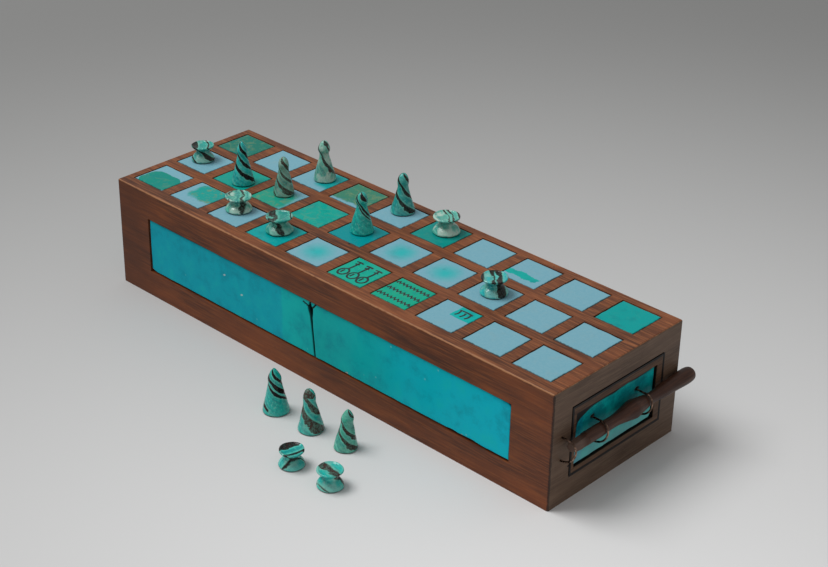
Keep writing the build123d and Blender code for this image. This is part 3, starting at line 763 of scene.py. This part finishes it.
# Two cracks leave the wedge's top, up to the left and to the right
left_crack = [(-3.8 - 0.5 * i, 39.6 + 0.13 * i, 0.5, 0.3) for i in range(8)]
right_crack = [(-1.8 + 0.35 * i, 38.9 + 0.42 * i, 0.45, 0.3) for i in range(8)]
faience_slab(
    "near_inlay_closed_slab",
    "near_inlay_closed_half",
    (0, -1, 0),
    "case",
    (170, 64),
    edges={"right": closed_side, "low": [(-117, 0.6), (-114, 0.0)]},
    losses=left_crack,
    chips=[(-116.8, 14.4, 0.9, 0.5), (-62.0, 33.0, 0.32, 0.05), (-50.2, 27.0, 0.3, 0.05)],
)
faience_slab(
    "near_inlay_drawer_slab",
    "near_inlay_drawer_half",
    (0, -1, 0),
    "case",
    (170, 64),
    edges={
        "left": drawer_side,
        "top": [(112, 0.0), (115.5, 0.3), (117, 1.0), (117.5, 2.2)],
        "low": [(80, 0.0), (84, 0.4), (88, 0.1), (96, 0.5), (101, 0.0)],
    },
    losses=right_crack,
    chips=[(20.5, 14.5, 0.8, 0.5), (84.0, 14.2, 0.7, 0.5), (90.5, 14.3, 0.6, 0.4), (96.5, 14.2, 0.7, 0.5)],
)
faience_slab("far_inlay_closed_slab", "far_inlay_closed_half", (0, 1, 0), "case", (150, 40))
faience_slab("far_inlay_drawer_slab", "far_inlay_drawer_half", (0, 1, 0), "case", (150, 40))
faience_slab("closed_end_slab", "closed_end_inlay", (-1, 0, 0), "case", (70, 44))

# ---- Drawer. A plain box of planed boards with a front of the same hardwood as the case. The slab
# in the front has worn away at its upper near corner, and the staples' holes in it are too wide.
front_colours = "3d2619 62452f 785a41 94694a"
front_wood = oiled_hardwood(
    "oiled_hardwood_of_drawer_front", ALONG_Y, front_colours, wear_and_painted_light=0.0, joint=front_box
)
dress(front_wood, "drawer_front")
dress(bare_wood, "drawer_near_side", "drawer_far_side", "drawer_floor", "drawer_back")
near_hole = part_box("near_bolt_staple")
far_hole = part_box("far_bolt_staple")
holes = []
for low, high in (near_hole, far_hole):
    middle_y = (low.y + high.y) / 2 / mm
    holes += [(middle_y, high.z / mm - 0.45, 1.15, 2.2), (middle_y, low.z / mm + 0.45, 0.7, 2.2)]
faience_slab(
    "drawer_front_slab",
    "drawer_front_inlay",
    (1, 0, 0),
    "drawer",
    (150, 90),
    edges={
        "left": [(15, 0.3), (30, 0.2), (36, 0.6), (39, 1.6), (40.5, 3.4), (41, 4.4)],
        "top": [(-27.3, 3.6), (-24, 2.6), (-20, 1.3), (-12, 0.9), (-4, 1.3), (6, 0.7), (18, 1), (26.5, 0.4)],
        "right": [(14, 2.4), (15, 1.6), (16.5, 0.3), (41, 0.2)],
    },
    losses=holes,
    tone=([(14, 0.1), (22, 0.2), (30, 0.5), (41, 0.55)], [(14, 0.22), (21, 0.15), (27, 0.0)]),
)
# Bare wood stands in the pocket where the slab has gone
inlay_low, inlay_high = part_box("drawer_front_inlay")
hair = 0.02 * mm
spans = (
    (inlay_high.x - 1.2 * mm, inlay_high.x - 0.3 * mm),
    (inlay_low.y + hair, inlay_high.y - hair),
    (inlay_high.z - 7 * mm, inlay_high.z - hair),
)
corners = [(x, y, z) for x in spans[0] for y in spans[1] for z in spans[2]]
sides = [(0, 1, 3, 2), (4, 6, 7, 5), (0, 4, 5, 1), (2, 3, 7, 6), (0, 2, 6, 4), (1, 5, 7, 3)]
pocket_wood = held_mesh("front_pocket_wood", corners, sides, front_wood)
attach(pocket_wood, "drawer")

# ---- Staples. Two of thick copper wire carry the bolt on the drawer front, and a third in the case
# keeps it shut. The wire was drawn and bent cold, and dark patina has grown on it but where the bolt
# and the fingers rub: to the eye brown-black, with a warm bright metal on the loops' outside.
staple_copper, add, shader = new_material("aged_copper_wire", 0.42)
place = add("TexCoord", give="Object")
patina = add("TexNoise", place, 0.0, 1 / (1.6 * mm), 4.0, 0.7)
patina = add("MapRange", patina, 0.36, 0.52)
stand = add("SeparateXYZ", place, give="X")
rubbed = add("MapRange SMOOTHSTEP", stand, half_length + 4.5 * mm, half_length + 7.8 * mm, 0.0, 0.36)
patina = add("Math SUBTRACT", patina, rubbed, use_clamp=True)
colour = lay(add, linear("a18270"), ("241a16", patina))
rough = add("MapRange", patina, 0.0, 1.0, 0.35, 0.62)
fill(shader, {"Metallic": 1.0, "Base Color": colour, "Roughness": rough})
dress(staple_copper, "near_bolt_staple", "far_bolt_staple", "keeper_staple")

# ---- Bolt. One rod of dark wood turned on a simple lathe, with a handle that swells between the
# staples. Its tip was whittled to enter the keeper, and the flats there have worn lighter.
turned_tree, add, given = new_tree(
    "turned_form",
    Object="Drawing",
    Int="Around Along",
    Vector="Foot Lean",
    Rotation="Turn",
    Float="Wobble Wobble_Length Seed",
)
columns_around = add("Math ADD", given["Around"], 1.0)
sheet = add("MeshGrid", 1.0, 1.0, columns_around, given["Along"])
spot = add("InputPosition")
share = add("VectorMath ADD", spot, (0.5, 0.5, 0.0))
round_share, along_share, _ = add("SeparateXYZ", share).node.outputs
profile = add("ObjectInfo", given["Drawing"], give="Geometry")
sample = {"Curves": profile, "Factor": along_share}
outline = add("SampleCurve", sample, give="Position", mode="FACTOR")
radius, _, height = add("SeparateXYZ", outline).node.outputs
angle = add("Math MULTIPLY", round_share, math.tau)
turned_x = add("Math MULTIPLY", radius, add("Math COSINE", angle))
turned_y = add("Math MULTIPLY", radius, add("Math SINE", angle))
turned = add("CombineXYZ", turned_x, turned_y, height)
form = add("SetPosition", sheet, True, turned)
form = add("MergeByDistance", {"Geometry": form, "Distance": 0.01 * mm})
form = add("StoreNamedAttribute", form, True, "local", spot, data_type="FLOAT_VECTOR")
scale = add("Math DIVIDE", 1.0, given["Wobble_Length"])
hand = given["Wobble"]
push = strayed(add, given["Seed"], scale, 1.0, (0.5, 0.5, 0.5), (1.0, 1.0, 0.0), hand)
level = add("SeparateXYZ", spot, give="Z")
leaned = add("VectorMath SCALE", {0: given["Lean"], "Scale": level})
push = add("VectorMath ADD", push, leaned)
form = add("SetPosition", {"Geometry": form, "Offset": push})
stood = {"Geometry": form, "Translation": given["Foot"], "Rotation": given["Turn"]}
form = add("Transform", stood)
form = add("SetShadeSmooth", form)
end_tree(add, form, given)


SHARP = True  # marks a corner of a profile


def turn_piece(name, profile, foot, material, **values):
    """Turn a profile about its own axis: points of (radius, height), with SHARP after a corner's."""
    line = [((radius, 0, height), bool(sharp)) for radius, height, *sharp in profile]
    still = (0.0, 0.0, 0.0)
    usual = {"Around": 72, "Along": 90, "Turn": still, "Lean": still, "Wobble_Length": 8 * mm, "Seed": 1.0}
    return grow_drawn(name, turned_tree, [line], 10, Foot=foot, Material=material, **(usual | values))


# A dense dark hardwood, turned and burnished with its own shavings: a smoother sheen than the case's.
# The tip has worn bare and grey where it goes in and out of the keeper
bolt_colours = "24120b 44271a 5e3a27 5e3a27"
bolt_wood = oiled_hardwood("turned_dark_hardwood", ALONG_Y, bolt_colours, roughness=0.42, wear_and_painted_light=0.0)
bolt_low, bolt_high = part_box("bolt")
add = partial(add_node, bolt_wood.node_tree)
shader = bolt_wood.node_tree.nodes["Principled BSDF"]
oiled = shader.inputs["Base Color"].links[0].from_socket
run = add("SeparateXYZ", add("TexCoord", give="Object"), give="Y")
bare = ("7d6a5e", run, bolt_low.y + 7.5 * mm, bolt_low.y + 4.5 * mm, 0.35)
fill(shader, {"Base Color": lay(add, oiled, bare)})
bolt_axis = (bolt_low + bolt_high) / 2
bolt_length = bolt_high.y - bolt_low.y
near_ring, far_ring = [(low.y + high.y) / 2 for low, high in (near_hole, far_hole)]
rod, waist, swell, far_rod = 2.9 * mm, 2.55 * mm, 4.2 * mm, 3.2 * mm
near_waist = near_ring + 8 * mm - bolt_low.y
far_waist = far_ring + 4 * mm - bolt_low.y
handle = (near_waist + far_waist) / 2
half_handle = (far_waist - near_waist - 8 * mm) / 2
half_swell = (rod + swell) / 2
bolt_profile = [
    (0, 0, SHARP),
    (rod - 1.0 * mm, 0, SHARP),
    (rod, 0.9 * mm),
    (rod, 6 * mm),
    (rod, near_waist - half_handle - 3 * mm),
    (rod, near_waist - half_handle),
    (waist, near_waist),
    (half_swell, handle - half_handle / 2),
    (swell, handle - 0.4 * mm),
    (swell, handle + 0.4 * mm),
    (half_swell, handle + half_handle / 2),
    (waist, far_waist),
    (far_rod, far_waist + half_handle),
    (far_rod, far_waist + half_handle + 3 * mm),
    (far_rod, bolt_length - 1.2 * mm),
    (far_rod - 0.9 * mm, bolt_length, SHARP),
    (0, bolt_length, SHARP),
]
bolt_rod = turn_piece(
    "bolt_rod",
    bolt_profile,
    Vector((bolt_axis.x, bolt_low.y, bolt_axis.z)),
    bolt_wood,
    Around=64,
    Along=260,
    Turn=(-math.pi / 2, 0.0, 0.0),
    Wobble=0.16 * mm,
)
# The whittled flats at the tip, each a direction round the rod and how far it stands from the axis
flats = [(0.3, 2.0), (1.5, 2.15), (2.6, 1.95), (3.9, 2.15), (5.1, 2.0)]
whittled = 9 * mm
for vertex in bolt_rod.data.vertices:
    along = vertex.co.y - bolt_low.y
    if along < whittled:
        ease = 1 - along / whittled
        for direction, reach in flats:
            out = (vertex.co.x - bolt_axis.x) * math.cos(direction)
            out += (vertex.co.z - bolt_axis.z) * math.sin(direction)
            over = out - (reach * mm + (1 - ease) * 0.6 * mm)
            if over > 0:
                vertex.co.x -= over * math.cos(direction)
                vertex.co.z -= over * math.sin(direction)
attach(bolt_rod, "bolt")
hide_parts("bolt")

# ---- Playing pieces. Each was rolled or pinched from faience of two colours, and the dark body
# winds through the turquoise glaze in bands. No two are quite round or quite upright. To the eye: a
# wet gloss on the glaze, dull speckled bands with a pale halo, cream patches, and a dark foot, bare body
# with painted contact shadow.
piece_glaze, add, shader = new_material("marbled_faience", 0.2)
local, lie, winding, *bands = read(add, "Vector", "local", "lie", "winding", "band_1", "band_2", "band_3")
glaze, dark = read(add, "Color", "glaze", "dark")
(cream,) = read(add, "Fac", "cream")
turns, wander, speckle = add("SeparateXYZ", winding).node.outputs
local_x, local_y, local_z = add("SeparateXYZ", local).node.outputs
angle = add("Math ARCTAN2", local_y, local_x)
angle = add("Math DIVIDE", angle, math.tau)
climb = add("VectorMath DOT_PRODUCT", local, lie, give="Value")
drift = add("TexNoise", local, 0.0, 1 / (5 * mm), 3.0)
sway = add("Math SUBTRACT", drift, 0.5)
climb = add("Math MULTIPLY_ADD", sway, wander, climb)
wound = add("Math MULTIPLY_ADD", angle, turns, climb)
# Streaks lie along the winding: noise is read on a ring, so that it closes round the piece
radians = add("Math MULTIPLY", wound, math.tau)
ring_x = add("Math COSINE", radians)
ring_y = add("Math SINE", radians)
slow = add("Math MULTIPLY", local_z, 1 / (20 * mm))
ring = add("CombineXYZ", ring_x, ring_y, slow)
streaks = add("TexNoise", ring, 0.0, 1.9, 4.0, 0.6)
grit = add("TexNoise", local, 0.0, 1 / (1.3 * mm), 4.0, 0.7)
swell = add("MapRange", drift, 0.3, 0.7, 0.55, 1.45)
over = -1.0
for band in bands:
    middle, half, start = add("SeparateXYZ", band).node.outputs
    apart = add("Math SUBTRACT", wound, middle)
    apart = add("Math WRAP", apart, 0.5, -0.5)
    apart = add("Math ABSOLUTE", apart)
    risen = add("Math SUBTRACT", local_z, start)
    there = add("MapRange", risen, 0.0, 1.2 * mm)
    half = add("Math MULTIPLY", half, swell)
    half = add("Math MULTIPLY", half, there)
    inside = add("Math SUBTRACT", half, apart)
    over = add("Math MAXIMUM", inside, over)
over = add("Math MULTIPLY_ADD", grit, 0.03, over)
edge = add("Math MULTIPLY_ADD", speckle, 0.02, 0.024)
banded = add("MapRange SMOOTHSTEP", over, 0.006, edge)
# Cream patches where the slow drift noise is high, as much as each piece's cream value allows
creamy = add("MapRange", drift, 0.47, 0.58)
creamy = add("Math MULTIPLY", creamy, cream)
clay = lay(add, dark, ("5f4a40", grit, 0.46, 0.34, 0.6), ("5c8073", grit, 0.47, 0.57, speckle))
tone = lay(
    add,
    glaze,
    ("0a7f80", streaks, 0.5, 0.62, 0.6),
    ("35c4b4", streaks, 0.47, 0.33, 0.5),
    ("74cdb8", over, -0.03, 0.01, 0.55),
    ("bfd6c8", creamy),
    ("0b6664", grit, 0.55, 0.68, 0.5),
    ("6fcab8", grit, 0.46, 0.34, 0.6),
    (clay, banded),
    # A dark foot: bare body, with painted contact shadow where it stands
    ("17110f", local_z, 0.75 * mm, 0.35 * mm, 0.9),
)
rough = add("MapRange", grit, 0.0, 1.0, 0.06, 0.34)
gloss = add("MapRange", banded, 0.0, 1.0, 0.5, 0.22)
relief = add("Math MULTIPLY_ADD", grit, 0.35, streaks)
skin = add("Bump", {"Height": relief, "Strength": 0.5, "Distance": 0.35 * mm})
fill(shader, {"Base Color": tone, "Roughness": rough, "Specular IOR Level": gloss, "Normal": skin})

# Each piece's look: glaze and dark colour, turns per millimetre up a cone, or along X, Y and up for a
# spool, how far the bands wander, how creamy the glaze and how speckled the bands are. Then its three
# bands: each one's place in the turn, half its width in turns and the height in millimetres where it
# starts. A cone's look ends with its lean, its neck's and head's radius and how pointed its bud is
cone_looks = [
    ("06aca0", "0b090a", 0.053, 0.10, 0.0, 0.0,
     ((0.65, 0.065, 3), (0.465, 0.05, 3), (0.9, 0.055, 2)), (-0.02, -0.02), (3.1, 3.05, 1.0)),
    ("12aca0", "3d2d27", 0.040, 0.20, 0.1, 0.7,
     ((0.115, 0.11, 0), (0.46, 0.08, 4), (0.66, 0.16, 17)), (-0.03, -0.02), (2.85, 2.85, 0.0)),
    ("3aa58a", "2a1b15", 0.048, 0.20, 0.1, 0.4,
     ((0.115, 0.055, 0), (0.355, 0.06, 0), (0.835, 0.05, 15)), (0.035, 0.045), (2.75, 2.75, 0.8)),
    ("05b4b0", "08080b", 0.050, 0.06, 0.0, 0.0,
     ((0.205, 0.06, 0), (0.495, 0.05, 0), (0.8, 0.06, 8)), (0.0, 0.0), (2.4, 2.5, 0.6)),
    ("6b8f7c", "3c332b", 0.050, 0.15, 0.3, 0.5,
     ((0.1, 0.065, 0), (0.42, 0.05, 0), (0.75, 0.065, 0)), (0.0, 0.0), (2.5, 2.6, 0.2)),
    ("6aa894", "2f2a27", 0.030, 0.20, 0.7, 0.4,
     ((0.2, 0.05, 0), (0.52, 0.04, 6), (0.55, 0.11, 18)), (-0.02, 0.0), (2.35, 3.0, 0.3)),
    ("06b0a2", "130d0e", 0.040, 0.06, 0.0, 0.1,
     ((0.335, 0.022, 6), (0.42, 0.032, 6), (0.64, 0.07, 16)), (0.0, 0.0), (2.45, 2.95, 0.1)),
    ("14a09a", "140f10", 0.040, 0.15, 0.1, 0.2,
     ((0.1, 0.05, 0), (0.4, 0.05, 0), (0.72, 0.06, 8)), (0.0, 0.0), (2.55, 2.75, 0.0)),
]
spool_looks = [
    ("0fb0a8", "140d10", (-0.032, 0.010, 0.006), 0.12, 0.2, 0.2,
     ((0.165, 0.085, 6), (0.927, 0.04, 6), (0.93, 0.02, 0))),
    ("12b2a8", "382523", (0.0035, 0.033, 0.0287), 0.10, 0.3, 0.6,
     ((0.224, 0.07, 0), (0.48, 0.03, 7), (0.88, 0.02, 0))),
    ("169a8f", "0e0c0d", (0.030, 0.040, 0.060), 0.12, 0.4, 0.2,
     ((0.3, 0.06, 0), (0.6, 0.035, 0), (0.85, 0.05, 0))),
    ("4fa08c", "241c19", (0.0236, 0.0236, 0.010), 0.25, 0.7, 0.6,
     ((0.11, 0.04, 0), (0.95, 0.018, 6), (0.24, 0.02, 7))),
    ("1a9483", "110d0e", (0.0236, 0.0236, 0.030), 0.30, 0.3, 0.5,
     ((0.12, 0.055, 0), (0.4, 0.035, 5), (0.93, 0.04, 3))),
    ("5aae9c", "2b231d", (0.030, 0.040, 0.060), 0.20, 0.9, 0.4,
     ((0.6, 0.04, 7), (0.5, 0.03, 7), (0.8, 0.04, 7))),
    ("0ab0b4", "120c0e", (0.0236, 0.0236, 0.010), 0.12, 0.3, 0.2,
     ((0.14, 0.055, 0), (0.05, 0.05, 7), (0.9, 0.03, 6))),
]


TAPER = ((0.05, 0.06), (0.30, 0.22), (0.68, 0.45))  # shares of the way in, and up


def cone_profile(foot, height, neck, head, point):
    """A nearly straight taper from the foot to the neck, then a bud between a ball and a point."""
    taper = [(foot - share * (foot - neck), rise * height) for share, rise in TAPER]
    return [
        (0, 0, SHARP),
        (foot - 0.6 * mm, 0, SHARP),
        (foot - 0.1 * mm, 0.4 * mm),
        *taper,
        (neck, 0.67 * height),
        (head, 0.78 * height),
        (head * (0.87 - 0.19 * point), (0.89 - 0.01 * point) * height),
        (head * (0.45 - 0.15 * point), (0.975 - 0.015 * point) * height),
        (0, height, SHARP) if point > 0.7 else (0, height),
    ]


def spool_profile(foot, height, top):
    """A domed foot, a waist and a flared top with a shallow dish in it."""
    return [
        (0, 0, SHARP),
        (foot - 0.5 * mm, 0, SHARP),
        (foot, 0.6 * mm),
        (0.93 * foot, 0.22 * height),
        (0.72 * foot, 0.40 * height),
        (3.2 * mm, 0.55 * height),
        (0.70 * top, 0.74 * height),
        (0.92 * top, 0.86 * height),
        (top, height - 0.5 * mm),
        (top - 0.4 * mm, height),
        (top - 1.2 * mm, height - 0.35 * mm),
        (0.4 * top, height - 0.75 * mm),
        (0, height - 0.85 * mm),
    ]


for kind, looks in (("cone", cone_looks), ("spool", spool_looks)):
    for number, look in enumerate(looks, start=1):
        node = f"{kind}_{number}"
        glaze, dark, lie, wander, cream, speckle, bands, *of_cone = look
        low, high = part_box(node)
        foot = Vector(((low.x + high.x) / 2, (low.y + high.y) / 2, low.z))
        widest, height = (high.x - low.x) / 2, high.z - low.z - 0.05 * mm
        if kind == "cone":
            lean, (neck, head, point) = of_cone
            lie = (0, 0, lie)
            profile = cone_profile(widest - 0.15 * mm, height, neck * mm, head * mm, point)
            wobble, turns = 0.7 * mm, 1.0
        else:
            lean = (0.0, 0.0)
            profile = spool_profile(widest - 0.25 * mm, height, widest - 0.45 * mm)
            wobble, turns = 1.1 * mm, 0.0
        piece = turn_piece(
            f"{node}_piece",
            profile,
            foot,
            piece_glaze,
            Lean=(*lean, 0.0),
            Wobble=wobble,
            Wobble_Length=6 * mm,
            Seed=number * 3.1 + len(kind),
        )
        own = {
            "lie": tuple(rate / mm for rate in lie),
            "winding": (turns, wander, speckle),
            "cream": (cream,),
            "glaze": linear(glaze),
            "dark": linear(dark),
        }
        for count, (middle, half, start) in enumerate(bands, start=1):
            own[f"band_{count}"] = (middle, half, start * mm)
        for label, value in own.items():
            store(piece.data, label, value * len(piece.data.vertices))
        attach(piece, node)
        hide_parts(node)

# ---- The floor and the light. A seamless sheet of pale matt paper, rolled smooth, with a painted pool of
# light under the box that shades away softly to the back, a large soft lamp high on the left and an even
# studio fill.
floor_half = 3.0
corners = [(x * floor_half, y * floor_half, 0) for x, y in ((-1, -1), (1, -1), (1, 1), (-1, 1))]
paper, add, shader = new_material("matt_background_paper", 0.9, 0.1)
place = add("TexCoord", give="Object")
pool_middle = (0.245, -0.13, 0.0)
# Painted pool of light: the paper is painted paler near the box and darker away from it
away = add("VectorMath DISTANCE", place, pool_middle, give="Value")
painted_light_falloff = add("MapRange SMOOTHSTEP", away, -0.25, 0.8)
fill(shader, {"Base Color": lay(add, linear("f9f9f9"), ("868685", painted_light_falloff))})
paper_floor = held_mesh("paper_floor", corners, [(0, 1, 2, 3)], paper)

lamp_place = Vector((-0.93, -0.62, 2.12))
lamp_aim = Vector((0, 0, 0.03))
lamp = bpy.data.lights.new("soft_lamp", "AREA")
lamp.shape = "SQUARE"
lamp.size = 1.2
lamp.energy = 38.0
lamp_object = bpy.data.objects.new("soft_lamp", lamp)
lamp_object.location = lamp_place
lamp_object.rotation_euler = (lamp_aim - lamp_place).to_track_quat("-Z", "Y").to_euler()
bpy.context.scene.collection.objects.link(lamp_object)

studio = bpy.data.worlds.new("studio_fill")
studio.use_nodes = True
fill(studio.node_tree.nodes["Background"], {"Color": (1.0, 1.0, 1.0, 1.0), "Strength": 0.4})
bpy.context.scene.world = studio
bpy.context.scene.view_settings.view_transform = "Standard"
